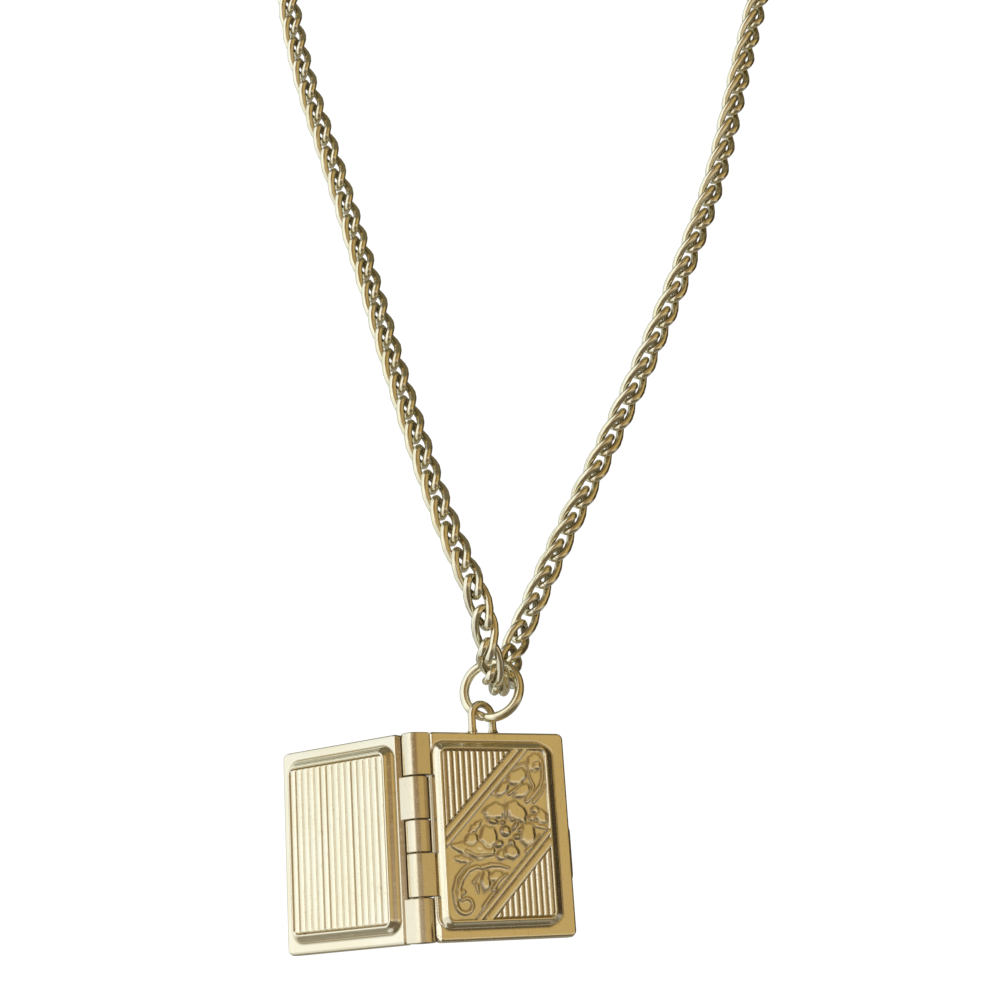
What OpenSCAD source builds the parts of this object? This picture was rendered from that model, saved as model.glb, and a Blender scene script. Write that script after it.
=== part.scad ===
// Book-shaped locket on a fine curb chain, shown open and hanging.
// Millimetres. X is the wearer's left seen from the front, Y points away
// from the viewer and Z is up. The origin is where the chain rests on the
// neck, under the clasp at the top of the loop.
//
// Each cover is drawn lying on its back in a plan frame: x runs from the
// hinge to the fore-edge, y up the book, z out of the cover's face, and
// z = 0 is the plane where the two covers meet. cover_frame() stands it up.

/* [Book] */
// Height of the book
book_h = 21; // [16:0.5:26]
// Width of one cover from its hinge edge to its fore-edge
cover_w = 15.7; // [12:0.1:18]
// Height of a cover's border above the plane where the covers meet
border_h = 1.3; // [1.2:0.1:1.6]
// How far the middle panel stands above the border
panel_rise = 0.85; // [0.5:0.05:1]
// Thickness of the metal
metal_t = 0.45; // [0.4:0.05:0.5]
// Angle between the two covers as the locket is shown, closed is 0
open_angle = 119; // [0:1:180]

/* [Relief] */
// Ribs across the back cover
back_ribs = 15; // [9:1:19]
// Ribs across the front cover
front_ribs = 18; // [11:1:21]
// Depth of the field that the ribs and flowers stand in
field_depth = 0.3; // [0.2:0.05:0.4]

/* [Hinge] */
// Outer radius of the hinge knuckles
knuckle_r = 1.28; // [1:0.01:1.3]
// Radius of the hinge pin
pin_r = 0.45; // [0.35:0.05:0.5]
// Radial gap between pin and knuckle
pin_gap = 0.05; // [0.03:0.01:0.08]

/* [Rings] */
// Radius of the jump ring to the middle of its wire
ring_r = 3; // [2.8:0.1:3.4]
// Radius of the jump ring's wire
ring_wire_r = 0.5; // [0.4:0.01:0.51]
// Half the distance between the bail's legs, middle to middle
bail_r = 1.34; // [1.33:0.01:1.38]
// Radius of the bail's wire
bail_wire_r = 0.41; // [0.35:0.01:0.42]

/* [Chain] */
// Links on each side of the lowest link
side_links = 57; // [50:1:60]
// Distance from one link to the next
link_pitch = 3.4; // [3.35:0.01:3.45]
// Width over a link
link_w = 2.8; // [2.78:0.01:2.84]
// Thickness of a link's wire
link_wire = 0.6; // [0.54:0.01:0.6]

/* [Hidden] */
$fn = 48;

gold = [0.80, 0.66, 0.42];
pale_gold = [0.86, 0.82, 0.62];
eps = 0.02;                       // overlap that fuses two solids

// Cover
edge_x = 1.05;                    // hinge edge of a cover, from the pin's axis
hinge_clear = 0.08;               // between the knuckles and the coved hinge edge
rim_gap = 0.05;                   // half the gap between the closed covers
corner_r = 0.7;                   // corners of a cover in plan
bevel = 0.35;                     // bevel round the outer face
wall = 0.6;                       // side walls
FRONT = 0;
BACK = 1;
border_spine = [0.5, 0.6];        // flat border beside the hinge, front and back
border_fore = [1.45, 0.8];        // at the fore-edge
border_top = 1;
border_foot = 1.1;
flank_run = 0.7;                  // slope from the border up to the panel
spine_run = [0.3, 0.7];           // the same beside the hinge
fore_run = [1.15, 0.7];           // and at the fore-edge
panel_corner = 0.8;               // corners of the panel's top
panel_rim = 0.2;                  // plain rim round the ribbed field
face_z = border_h;
panel_z = border_h + panel_rise;
field_z = panel_z - field_depth;
function panel_x0(c) = edge_x + border_spine[c] + spine_run[c];
function panel_x1(c) = edge_x + cover_w - border_fore[c] - fore_run[c];
panel_y0 = -book_h/2 + border_foot + flank_run;
panel_y1 = book_h/2 - border_top - flank_run;
function panel_mid(c) = [(panel_x0(c) + panel_x1(c))/2, (panel_y0 + panel_y1)/2];
function panel_size(c) = [panel_x1(c) - panel_x0(c), panel_y1 - panel_y0];
function field_size(c) = panel_size(c) - 2*[panel_rim, panel_rim];

// Hinge: heights of the knuckles from the top down, and whose they are
knuckle_h = [4.45, 4.4, 3.3, 4.4, 4.45];
knuckle_owner = [FRONT, BACK, FRONT, FRONT, BACK];
round_knuckle = 2;                // the one whose leaf lies low
knuckle_gap = 0.12;               // between one knuckle and the next
leaf_t = 0.42;
leaf_reach = edge_x + wall - eps; // from the pin's axis into the cover's wall

// Catch lip on the front cover's fore-edge
lip_len = 5.6;
lip_y = -2;
lip_r = 0.45;
lip_out = 0.25;

// Bail
bail_x = 7.6;                     // from the pin's axis
bail_turn = 12;                   // turned out of the cover's plane
bail_leg = 1.7;                   // straight part above the cover
bail_z = (border_h + rim_gap)/2;
ring_drop = 0.4;                  // ring's wire below the inside of the arc
ring_side = 0.1;                  // and to the side, which the slanting wires need
bail_root = 0.45;                 // leg's depth in the cover's wall

// How the locket hangs
front_yaw = 26;                   // front cover turned back from the viewer
ring_yaw = -16;
rest_turn = 16;                   // bail's place on the ring, from its foot
book_roll = 4.6;                  // foot of the book towards the right
book_pitch = 7.5;                 // turn about the ring that brings it to rest
ring_slit = 0.1;
slit_angle = -101;                // where the ring's ends meet

// Chain: a link is an oval twisted about its length, so the chain lies flat
link_half = 0.8*link_pitch;       // half length to the middle of the wire
link_half_w = (link_w - link_wire)/2;
link_twist = 70;
link_points = 10;
wire_sides = 5;
oval_power = 0.7;                 // squarer than an ellipse

// Lean of each strand out from upright, by distance from the lowest link
//           distance, degrees
left_lean = [[0, 0], [12, 26], [26, 20], [50, 18], [80, 21], [110, 5.5], [150, -2.5],
             [193.8, -90]];
right_lean = [[0, 0], [12, 20], [30, 23], [50, 20], [65, 17], [80, 10], [115, 12.8],
              [150, -4.8], [193.8, -90]];
// The next three tables go by the number of links from the lowest one.
// Rise of a link from level; past upright the strand comes back to the
// loop's own plane
//          link, degrees
link_rise = [[0, 0], [1, 30], [2, 68], [3, 74], [4, 94], [5, 98], [17, 98], [20, 90]];
// Turn of a link's level direction away from straight back
link_yaw = [[0, 11], [1, 10], [2, -12], [3, 0]];
// Turn of a link about its own length, and more of it on the right strand
link_roll = [[0, 0], [1, -9], [2, -25], [3, -12], [4, -2], [5, 0]];
right_roll = [[0, 0], [7, 35], [48, 35], [57, 0]];
under_ring = 1.94;                // lowest link below the ring's top wire
low_offset = 0.45;                // and to the right along the ring

// Clasp
clasp_r = 2.6;
clasp_wire_r = 0.38;
clasp_tilt = 70;                  // turned towards lying flat on the neck
clasp_hook = 3.2;                 // its middle from the right end link's
eye_r = 1.2;
eye_wire_r = 0.3;
eye_tilt = -60;

function unit(v) = v/norm(v);
function signed_pow(c, p) = sign(c)*pow(abs(c), p);

// Covers

module rounded_plate(size, r, h) {
    linear_extrude(h) rounded_rect(size, r);
}

module rounded_rect(size, r) {
    square([size.x - 2*r, size.y], center = true);
    square([size.x, size.y - 2*r], center = true);
    for (x = [-1, 1], y = [-1, 1])
        translate([x*(size.x/2 - r), y*(size.y/2 - r)]) circle(r);
}

// A cover's raised panel, whose sides slope in from the border
module raised_panel(c) {
    size = panel_size(c);
    hull() {
        translate([(fore_run[c] - spine_run[c])/2, 0, 0])
            rounded_plate([size.x + spine_run[c] + fore_run[c], size.y + 2*flank_run],
                          panel_corner + spine_run[c], eps);
        translate([0, 0, panel_rise]) rounded_plate(size, panel_corner, eps);
    }
}

// Cutter that bevels the four long edges of the outer face
module edge_bevels() {
    mid_x = edge_x + cover_w/2;
    for (s = [-1, 1]) {
        translate([mid_x + s*cover_w/2, 0, face_z])
            rotate([0, 45, 0]) cube([bevel*sqrt(2), book_h + 2, bevel*sqrt(2)], center = true);
        translate([mid_x, s*book_h/2, face_z])
            rotate([45, 0, 0]) cube([cover_w + 2, bevel*sqrt(2), bevel*sqrt(2)], center = true);
    }
}

module on_panel(c, z) {
    translate([panel_mid(c).x, panel_mid(c).y, z]) children();
}

module cover_shell(c) {
    mid_x = edge_x + cover_w/2;
    difference() {
        union() {
            difference() {
                translate([mid_x, 0, rim_gap])
                    rounded_plate([cover_w, book_h], corner_r, face_z - rim_gap);
                edge_bevels();
            }
            on_panel(c, face_z - eps) raised_panel(c);
        }
        translate([mid_x, 0, -1])
            rounded_plate([cover_w - 2*wall, book_h - 2*wall], corner_r, face_z - metal_t + 1);
        on_panel(c, 0) rounded_plate(field_size(c), panel_corner, field_z - metal_t);
        on_panel(c, field_z) rounded_plate(field_size(c), panel_corner - panel_rim, panel_z);
        rotate([90, 0, 0]) cylinder(book_h + 2, r = knuckle_r + hinge_clear, center = true);
    }
}

// Round-topped ribs side by side, as high as the panel's rim
rib_steps = 6;
function rib_profile(n, pitch) = [for (i = [0 : n*rib_steps])
    let (s = (i % rib_steps)/rib_steps)
        [i*pitch/rib_steps, field_depth*sin(180*s)]];

module ribs(c, n) {
    pitch = field_size(c).x/n;
    length = field_size(c).y + 2*eps;
    translate([-n*pitch/2, length/2, 0]) rotate([90, 0, 0])
        linear_extrude(length)
            polygon(concat([[0, -eps], [n*pitch, -eps]],
                           [for (i = [n*rib_steps : -1 : 0]) rib_profile(n, pitch)[i]]));
}

// Diagonal band of flowers. q is the distance up and to the left from the
// diagonal through band_at. The flowers are measured from there too.
band_at = [8.43, 0.05];
band_low = -5;
band_high = 4.9;
border_rib = 0.65;                // width of each of a border's two ridges
border_line = 0.1;                // line between them
inner_step = 0.06;                // the inner ridge lies lower
flower_at = [0.45, 0.2];
petal_r = 1.15;
petal_out = 1.95;
petal_turn = -10;
petal_rise = 0.3;
boss_r = 0.6;
stem_r = 0.17;
// Buds and leaf lobes: x, y, radius
lobes = [[4.1, 1.9, 0.62], [4.75, 1.3, 0.5], [4.1, 0.85, 0.5],
         [1.85, 5.4, 0.85], [0.75, 4.4, 0.6], [2.9, 4.4, 0.65],
         [-2.4, -5.2, 0.6], [-1.1, -4.7, 0.75], [0.1, -3.8, 0.6]];
// Pointed leaves: x, y, length, width, turn
leaves = [[-3.7, -1.3, 3.2, 1.3, 8], [-4.3, -3.2, 1.7, 0.7, 50], [3.9, 3.6, 2.2, 0.8, 75]];
// Scrolls and stems: x, y, radius, first angle, sweep
stems = [[3.85, 6.8, 0.85, -40, 270], [3.6, 6.75, 0.4, 90, 250],
         [2.35, 6.2, 2.5, -55, 75], [-3.6, -7.1, 1.3, -120, 300],
         [-3.55, -7.05, 0.6, 60, 270], [-1.8, -6.2, 3.1, 95, 85]];

module diagonal_strip(q, w, h) {
    reach = norm(panel_size(FRONT));
    rotate([0, 0, 45]) translate([-reach/2, q - w/2, 0]) cube([reach, w, h]);
}

module dome(r, h) {
    ball = (r*r + h*h)/(2*h);
    translate([0, 0, h - ball]) sphere(ball);
}

module pointed_leaf(length, w) {
    r = (length*length/4 + w*w/4)/w;
    linear_extrude(petal_rise)
        intersection() {
            translate([0, r - w/2]) circle(r);
            translate([0, w/2 - r]) circle(r);
        }
}

module stem(r, start, sweep) {
    rotate([0, 0, start]) rotate_extrude(angle = sweep) translate([r, 0]) circle(stem_r, $fn = 16);
}

module flowers() {
    translate(flower_at) {
        for (i = [0 : 4])
            rotate([0, 0, petal_turn + 72*i]) translate([petal_out, 0, 0]) dome(petal_r, petal_rise);
        dome(boss_r, petal_rise + 0.08);
    }
    for (l = lobes) translate([l[0], l[1], 0]) dome(l[2], petal_rise - 0.05);
    for (l = leaves)
        translate([l[0], l[1], -eps]) rotate([0, 0, l[4]]) pointed_leaf(l[2], l[3]);
    for (s = stems) translate([s[0], s[1], stem_r/3]) stem(s[2], s[3], s[4]);
}

// Keeps what lies within a cover's field
module in_field(c) {
    intersection() {
        on_panel(c, field_z - eps)
            rounded_plate(field_size(c) + 2*[eps, eps], panel_corner - panel_rim,
                          2*field_depth);
        children();
    }
}

module on_band() {
    translate([band_at.x, band_at.y, field_z]) children();
}

module front_relief() {
    q0 = (band_low + band_high)/2;
    in_field(FRONT) difference() {
        on_panel(FRONT, field_z) ribs(FRONT, front_ribs);
        on_band() diagonal_strip(q0, band_high - band_low, field_depth + 1);
    }
    in_field(FRONT) on_band() {
        for (q = [band_low + border_rib/2, band_high - border_rib/2])
            diagonal_strip(q, border_rib, field_depth);
        for (q = [band_low + 1.5*border_rib + border_line,
                  band_high - 1.5*border_rib - border_line])
            diagonal_strip(q, border_rib, field_depth - inner_step);
    }
    in_field(FRONT) on_band() difference() {
        flowers();
        for (s = [-1, 1])
            diagonal_strip(q0 + s*(band_high - band_low)/2, 4*border_rib + 2*border_line, 2);
    }
}

// Places a plan-frame cover upright, its face towards -y
module cover_frame() {
    rotate([90, 0, 0]) children();
}

function knuckle_top(i) = book_h/2 - (i == 0 ? 0 : knuckle_sum(i - 1));
function knuckle_sum(i) = knuckle_h[i] + (i == 0 ? 0 : knuckle_sum(i - 1));

// One cover's knuckles, in the standing frame, reaching to side (1 or -1)
module knuckles(owner, side) {
    for (i = [0 : len(knuckle_h) - 1]) if (knuckle_owner[i] == owner) {
        h = knuckle_h[i] - knuckle_gap;
        leaf_y = i == round_knuckle ? -leaf_t - 2*rim_gap : -knuckle_r + eps;
        translate([0, 0, knuckle_top(i) - knuckle_h[i] + knuckle_gap/2]) {
            difference() {
                union() {
                    cylinder(h, r = knuckle_r);
                    translate([side > 0 ? 0 : -leaf_reach, leaf_y, 0])
                        cube([leaf_reach, leaf_t, h]);
                }
                translate([0, 0, -1]) cylinder(h + 2, r = pin_r + pin_gap);
            }
        }
    }
}

module bail() {
    foot = book_h/2 - bail_root;
    arc_y = book_h/2 + bail_leg;
    translate([bail_x, -bail_z, 0]) rotate([0, 0, bail_turn]) {
        for (s = [-1, 1])
            translate([s*bail_r, 0, foot]) cylinder(arc_y - foot, r = bail_wire_r);
        translate([0, 0, arc_y]) rotate([90, 0, 0])
            rotate_extrude(angle = 180) translate([bail_r, 0]) circle(bail_wire_r);
    }
}

module catch_lip() {
    translate([edge_x + cover_w + lip_out - lip_r, lip_y + lip_len/2, (border_h + rim_gap)/2])
        rotate([90, 0, 0]) cylinder(lip_len, r = lip_r);
}

// Placing the book: the bail's rest on the ring's wire, a little left of
// its lowest point
ring_top = [0, 0, 0];
bail_rest = [bail_x + ring_side*cos(bail_turn), -bail_z + ring_side*sin(bail_turn),
             book_h/2 + bail_leg + bail_r - bail_wire_r - ring_wire_r - ring_drop];
ring_along = [cos(ring_yaw), sin(ring_yaw), 0];
ring_rest = ring_top - ring_r*(sin(rest_turn)*ring_along + [0, 0, 1 + cos(rest_turn)]);

module hang() {
    translate([0, 0, -loop_top]) children();
}

module book_place() {
    hang() translate(ring_rest) rotate(a = book_pitch, v = ring_along)
        rotate([0, -book_roll, 0]) rotate([0, 0, front_yaw])
            translate(-bail_rest) children();
}

module front_cover() {
    color(gold) book_place() {
        cover_frame() {
            cover_shell(FRONT);
            front_relief();
            catch_lip();
        }
        knuckles(FRONT, 1);
        bail();
    }
}

module back_cover() {
    color(pale_gold) book_place() rotate([0, 0, open_angle - 180]) {
        mirror([1, 0, 0]) cover_frame() {
            cover_shell(BACK);
            in_field(BACK) on_panel(BACK, field_z) ribs(BACK, back_ribs);
        }
        knuckles(BACK, -1);
    }
}

module hinge_pin() {
    color(pale_gold) book_place()
        translate([0, 0, -book_h/2 + knuckle_gap]) cylinder(book_h - 2*knuckle_gap, r = pin_r);
}

module jump_ring() {
    color(pale_gold) hang() translate(ring_top - [0, 0, ring_r]) rotate([0, 0, ring_yaw])
        rotate([90, 0, 0]) difference() {
            rotate_extrude() translate([ring_r, 0]) circle(ring_wire_r);
            rotate([0, 0, slit_angle]) translate([ring_r, 0, 0])
                cube([4*ring_wire_r, ring_slit, 4*ring_wire_r], center = true);
        }
}

// Chain

// Direction of link k going away from the lowest link, side 1 right, -1 left
function lean(side, k) = lookup(k*link_pitch, side > 0 ? right_lean : left_lean);
function up(side, k) = [side*sin(lean(side, k)), 0, cos(lean(side, k))];
function level(side, k) = let (a = lookup(k, link_yaw)) side*[sin(a), cos(a), 0];
function along(side, k) = let (a = lookup(k, link_rise))
    unit(cos(a)*level(side, k) + sin(a)*up(side, k));
function flat(side, k) = let (a = lookup(k, link_yaw), d = along(side, k),
    w = k == 0 ? [cos(a), -sin(a), 0] : [cos(lean(side, k)), 0, -side*sin(lean(side, k))])
    unit(w - (w*d)*d);
function roll(side, k) = lookup(k, link_roll) + (side > 0 ? lookup(k, right_roll) : 0);
function across(side, k) = let (d = along(side, k), w = flat(side, k), a = roll(side, k))
    cos(a)*w + sin(a)*cross(d, w);

// Middles of a strand's links, link 0 being the lowest
function strand(side) = [for (k = 0, p = ring_top + low_offset*ring_along - [0, 0, under_ring];
    k <= side_links;
    k = k + 1, p = p + link_pitch/2*(along(side, k - 1) + along(side, min(k, side_links)))) p];

// Middle of the wire at point j of a link, as [along, across, through]
function oval(j) = let (t = 360*j/link_points, x = signed_pow(cos(t), oval_power),
                        w = link_half_w*signed_pow(sin(t), oval_power), a = link_twist*x)
    [link_half*x, w*cos(a), w*sin(a)];
// Outward direction of the wire's section there
function oval_out(j) = let (t = 360*j/link_points, a = link_twist*signed_pow(cos(t), oval_power))
    unit([cos(t), sin(t)*cos(a), sin(t)*sin(a)]);
function link_ring(j) = let (d = unit(oval(j + 1) - oval(j - 1)), o = oval_out(j),
                             n = unit(o - (o*d)*d), b = cross(d, n))
    [for (i = [0 : wire_sides - 1]) let (a = 360*i/wire_sides)
        oval(j) + link_wire/2*(cos(a)*n + sin(a)*b)];
link_mesh = [for (j = [0 : link_points - 1]) each link_ring(j)];
ring_count = link_points*wire_sides;
function mesh_index(j, i) = (j % link_points)*wire_sides + i % wire_sides;
link_faces = [for (j = [0 : link_points - 1], i = [0 : wire_sides - 1])
    each [[mesh_index(j, i), mesh_index(j + 1, i + 1), mesh_index(j, i + 1)],
          [mesh_index(j, i), mesh_index(j + 1, i), mesh_index(j + 1, i + 1)]]];

function placed_link(side, k, p) =
    let (d = along(side, k), w = across(side, k), n = cross(d, w))
        [for (v = link_mesh) p + v.x*d + v.y*w + v.z*n];

module chain(side, first) {
    middles = strand(side);
    ks = [for (k = [first : side_links]) k];
    polyhedron(
        points = [for (k = ks) each placed_link(side, k, middles[k])],
        faces = [for (n = [0 : len(ks) - 1], f = link_faces) [for (v = f) v + n*ring_count]]);
}

module chain_left() {
    color(pale_gold) hang() chain(-1, 0);
}

module chain_right() {
    color(pale_gold) hang() chain(1, 1);
}

// Clasp: a closed ring and a small eye joined side by side, each through an
// end link
left_end = strand(-1)[side_links];
right_end = strand(1)[side_links];
clasp_z = (left_end.z + right_end.z)/2;
clasp_low = clasp_r*cos(clasp_tilt) + clasp_wire_r;
loop_top = clasp_z - clasp_low;

module wire_ring(r, wire_r, tilt) {
    rotate([90 + tilt, 0, 0]) rotate_extrude() translate([r, 0]) circle(wire_r);
}

module clasp() {
    color(pale_gold) hang() translate([right_end.x - clasp_hook, 0, clasp_z]) {
        wire_ring(clasp_r, clasp_wire_r, clasp_tilt);
        translate([-clasp_r - eye_r, 0, 0]) wire_ring(eye_r, eye_wire_r, eye_tilt);
    }
}

front_cover();
back_cover();
hinge_pin();
jump_ring();
chain_left();
chain_right();
clasp();
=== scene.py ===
"""A book-shaped locket hanging open from a fine curb chain.

Lengths in the classes are millimetres in the row frame, as in the part's
source, and meshes are written in metres. The plan frame of a cover has x from
the hinge to the fore-edge, y up the book and z out of the cover's face.
"""
import logging
import math
from dataclasses import dataclass, replace
from enum import Enum
from typing import Any, Sequence

import bpy
import numpy as np
from mathutils import Matrix


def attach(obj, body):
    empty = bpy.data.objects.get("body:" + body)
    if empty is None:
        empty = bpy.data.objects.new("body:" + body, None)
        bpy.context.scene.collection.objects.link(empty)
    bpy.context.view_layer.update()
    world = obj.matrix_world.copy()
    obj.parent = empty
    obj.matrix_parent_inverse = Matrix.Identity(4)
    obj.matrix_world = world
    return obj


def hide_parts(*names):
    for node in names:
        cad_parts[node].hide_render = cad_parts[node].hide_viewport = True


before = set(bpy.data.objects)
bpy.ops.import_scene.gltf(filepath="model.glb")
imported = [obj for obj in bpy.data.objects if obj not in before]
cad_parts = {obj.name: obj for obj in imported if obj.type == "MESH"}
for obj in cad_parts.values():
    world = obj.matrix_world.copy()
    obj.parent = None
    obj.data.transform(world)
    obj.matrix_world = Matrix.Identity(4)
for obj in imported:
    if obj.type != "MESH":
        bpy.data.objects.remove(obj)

LOG = logging.getLogger("locket")
MM = 0.001
Array = np.ndarray
Table = tuple[tuple[float, ...], ...]
Color = tuple[float, float, float]
Pair = tuple[float, float]
Faces = list[Any]


class Side(Enum):
    """Which side of the locket a cover or strand is on."""

    FRONT = "front"
    BACK = "back"
    LEFT = "left"
    RIGHT = "right"


# Vectors and placing


def turn(axis: Sequence[float], degrees: float) -> Array:
    """Matrix of a turn about an axis through the origin, by the right-hand rule."""
    return np.array(Matrix.Rotation(math.radians(degrees), 3, axis))


def unit(v: Array) -> Array:
    """Vectors of length one along the last axis."""
    return v/np.linalg.norm(v, axis=-1, keepdims=True)


def smooth_step(x: Array, low: float, high: float) -> Array:
    """Smooth rise from 0 at low to 1 at high."""
    t = np.clip((x - low)/(high - low), 0, 1)
    return t*t*(3 - 2*t)


# Shader maths


class Socket:
    """An output of a node, with Python's operators as Math nodes."""

    def __init__(self, tree: "NodeTree", link: Any) -> None:
        """Keeps the tree and the output socket."""
        self.tree = tree
        self.link = link

    def _math(self, operation: str, *values: Any) -> "Socket":
        """A Math node on this tree."""
        return self.tree.add("ShaderNodeMath", {"operation": operation}, dict(enumerate(values)))

    def __add__(self, other: Any) -> "Socket":
        """Sum."""
        return self._math("ADD", self, other)

    __radd__ = __add__

    def __mul__(self, other: Any) -> "Socket":
        """Product."""
        return self._math("MULTIPLY", self, other)

    __rmul__ = __mul__

    def __rsub__(self, other: Any) -> "Socket":
        """Difference from a number."""
        return self._math("SUBTRACT", other, self)

    def between(self, low: float, high: float) -> "Socket":
        """0 below low, 1 above high and smooth between them."""
        return self.tree.add("ShaderNodeMapRange", {"interpolation_type": "SMOOTHSTEP"},
                             {0: self, 1: low, 2: high})


class NodeTree:
    """A material's or world's node tree that is being filled."""

    def __init__(self, owner: Any) -> None:
        """Empties the tree of a material or world."""
        owner.use_nodes = True
        self.tree = owner.node_tree
        self.tree.nodes.clear()

    def add(self, kind: str, settings: dict[str, Any] | None = None,
            values: dict[Any, Any] | None = None, out: Any = 0) -> Socket:
        """Adds one node.

        Args:
            kind: the node's type.
            settings: its properties, set first; "stops" are a ramp's.
            values: numbers, tuples or sockets by input name or index.
            out: name or index of the output to return.

        Returns:
            The chosen output.
        """
        node = self.tree.nodes.new(kind)
        for key, value in (settings or {}).items():
            if key == "stops":
                self._stops(node, value)
            else:
                setattr(node, key, value)
        for key, value in (values or {}).items():
            if isinstance(value, Socket):
                self.tree.links.new(value.link, node.inputs[key])
            else:
                node.inputs[key].default_value = value
        return Socket(self, node.outputs[out]) if len(node.outputs) else Socket(self, None)

    @staticmethod
    def _stops(node: Any, stops: Sequence[tuple[float, Sequence[float]]]) -> None:
        """Sets a colour ramp's stops.

        Args:
            node: the ramp.
            stops: place and colour of each.
        """
        ramp = node.color_ramp
        while len(ramp.elements) < len(stops):
            ramp.elements.new(1.0)
        for element, (at, color) in zip(ramp.elements, stops):
            element.position = at
            element.color = (*color, 1.0)

    def blend(self, factor: Any, a: Any, b: Any) -> Socket:
        """Mixes two colours by a factor."""
        ends = {i: c if isinstance(c, Socket) else (*c, 1.0) for i, c in ((6, a), (7, b))}
        return self.add("ShaderNodeMix", {"data_type": "RGBA"}, {0: factor, **ends}, out=2)

    def noise(self, where: Socket, scale: float, detail: float = 2.0) -> Socket:
        """Noise value over a position."""
        return self.add("ShaderNodeTexNoise", {}, {"Vector": where, "Scale": scale, "Detail": detail})

    def stretched(self, where: Socket, scale: Sequence[float], degrees: Sequence[float]) -> Socket:
        """A position turned and scaled, for streaks."""
        angles = [math.radians(d) for d in degrees]
        return self.add("ShaderNodeMapping", {}, {"Vector": where, "Rotation": angles, "Scale": scale})


# Sets of fine scratches: stretch of the noise along each axis, then its turn in degrees
SCRATCHES = (((240, 9000, 9000), (0, 20, 35)), ((9000, 9000, 300), (15, 0, 10)),
             ((7000, 200, 7000), (0, 35, -50)))


@dataclass(frozen=True)
class GoldFinish:
    """Gold-tone brass, polished, with tarnish and scratches; its hollows are rougher and painted darker as
    shade, with some tarnish.

    Colours are linear. Each share runs from 0 to 1, scales are per metre, a range
    gives the noise values where a mark begins and is full, and dulling is the
    roughness that a mark adds.
    """

    name: str
    color: Color = (0.89, 0.82, 0.64)
    warm: Color = (0.87, 0.79, 0.58)
    # Dark brown of the painted shade in hollows, gaps and insides, with some tarnish
    hollow: Color = (0.32, 0.23, 0.11)
    tarnish: Color = (0.28, 0.13, 0.05)
    roughness: float = 0.08
    uneven: float = 0.08
    hollow_shade_share: float = 0.6
    spot_share: float = 0.6
    hollow_dulling: float = 0.25
    scratch_dulling: float = 0.1
    grain_dulling: float = 0.03
    scratch_depth: float = 0.012
    ripple_depth: float = 0.02
    patch_scale: float = 160.0
    spot_scale: float = 420.0
    ripple_scale: float = 900.0
    grain_scale: float = 1400.0
    patch_range: Pair = (0.35, 0.7)
    spot_range: Pair = (0.66, 0.78)
    scratch_range: Pair = (0.69, 0.73)

    def material(self) -> bpy.types.Material:
        """Builds the material.

        Returns:
            A procedural material that reads the mesh's attribute of painted shade and tarnish.
        """
        mat = bpy.data.materials.new(self.name)
        t = NodeTree(mat)
        where = t.add("ShaderNodeTexCoord", out="Object")
        # Per-vertex painted shade, with some tarnish, from the mesh
        hollow = t.add("ShaderNodeAttribute", {"attribute_name": "shade_and_tarnish"}, out="Fac")
        patch = t.noise(where, self.patch_scale, 3.0)
        grain = t.noise(where, self.grain_scale, 3.0)
        spots = t.noise(where, self.spot_scale, 4.0).between(*self.spot_range)
        alloy = t.blend(patch.between(*self.patch_range), self.color, self.warm)
        # Painted shade: the alloy darkened towards the hollow colour where the attribute is high
        alloy = t.blend(hollow*self.hollow_shade_share, alloy, self.hollow)
        alloy = t.blend(spots*(0.25 + hollow)*self.spot_share, alloy, self.tarnish)
        streaks = [t.noise(t.stretched(where, scale, angles), 1.0, 1.0).between(*self.scratch_range)
                   for scale, angles in SCRATCHES]
        scratches = streaks[0] + streaks[1] + streaks[2]
        rough = (self.roughness + self.uneven*patch.between(0.3, 0.8) + self.hollow_dulling*hollow
                 + self.scratch_dulling*scratches + self.grain_dulling*grain)
        ripple = t.add("ShaderNodeBump", {}, {"Strength": 0.6, "Distance": self.ripple_depth*MM,
                                              "Height": t.noise(where, self.ripple_scale)})
        bump = t.add("ShaderNodeBump", {"invert": True},
                     {"Strength": 0.5, "Distance": self.scratch_depth*MM, "Height": scratches,
                      "Normal": ripple})
        shader = t.add("ShaderNodeBsdfPrincipled", {},
                       {"Base Color": alloy, "Metallic": 1.0, "Roughness": rough, "Normal": bump})
        t.add("ShaderNodeOutputMaterial", {}, {"Surface": shader})
        return mat


# Meshes


def in_scene(name: str, data: Any) -> bpy.types.Object:
    """A new object in the scene, from its mesh or camera."""
    obj = bpy.data.objects.new(name, data)
    bpy.context.scene.collection.objects.link(obj)
    return obj


@dataclass
class Piece:
    """A mesh in millimetres that becomes one object of the locket."""

    name: str
    body: str
    slot: str
    verts: Array
    faces: Faces
    shade_and_tarnish: Array | None = None
    sharp: float = 40.0

    def build(self, material: bpy.types.Material, replaces: Sequence[str]) -> None:
        """Makes the object, rides it on its body and dresses it.

        Args:
            material: its finish.
            replaces: CAD nodes that it stands for.
        """
        mesh = bpy.data.meshes.new(self.name)
        mesh.from_pydata((self.verts*MM).tolist(), [], self.faces)
        mesh.validate()
        # Painted shade with some tarnish per vertex, which the gold material reads
        shade_and_tarnish = self.shade_and_tarnish if self.shade_and_tarnish is not None else np.zeros(len(self.verts))
        layer = mesh.attributes.new("shade_and_tarnish", "FLOAT", "POINT")
        layer.data.foreach_set("value", shade_and_tarnish.astype(np.float32))
        mesh.materials.append(material)
        mesh.shade_smooth()
        mesh.set_sharp_from_angle(angle=math.radians(self.sharp))
        obj = in_scene(self.name, mesh)
        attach(obj, self.body)
        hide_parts(*replaces)
        LOG.info("%s: %d faces", self.name, len(mesh.polygons))


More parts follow.
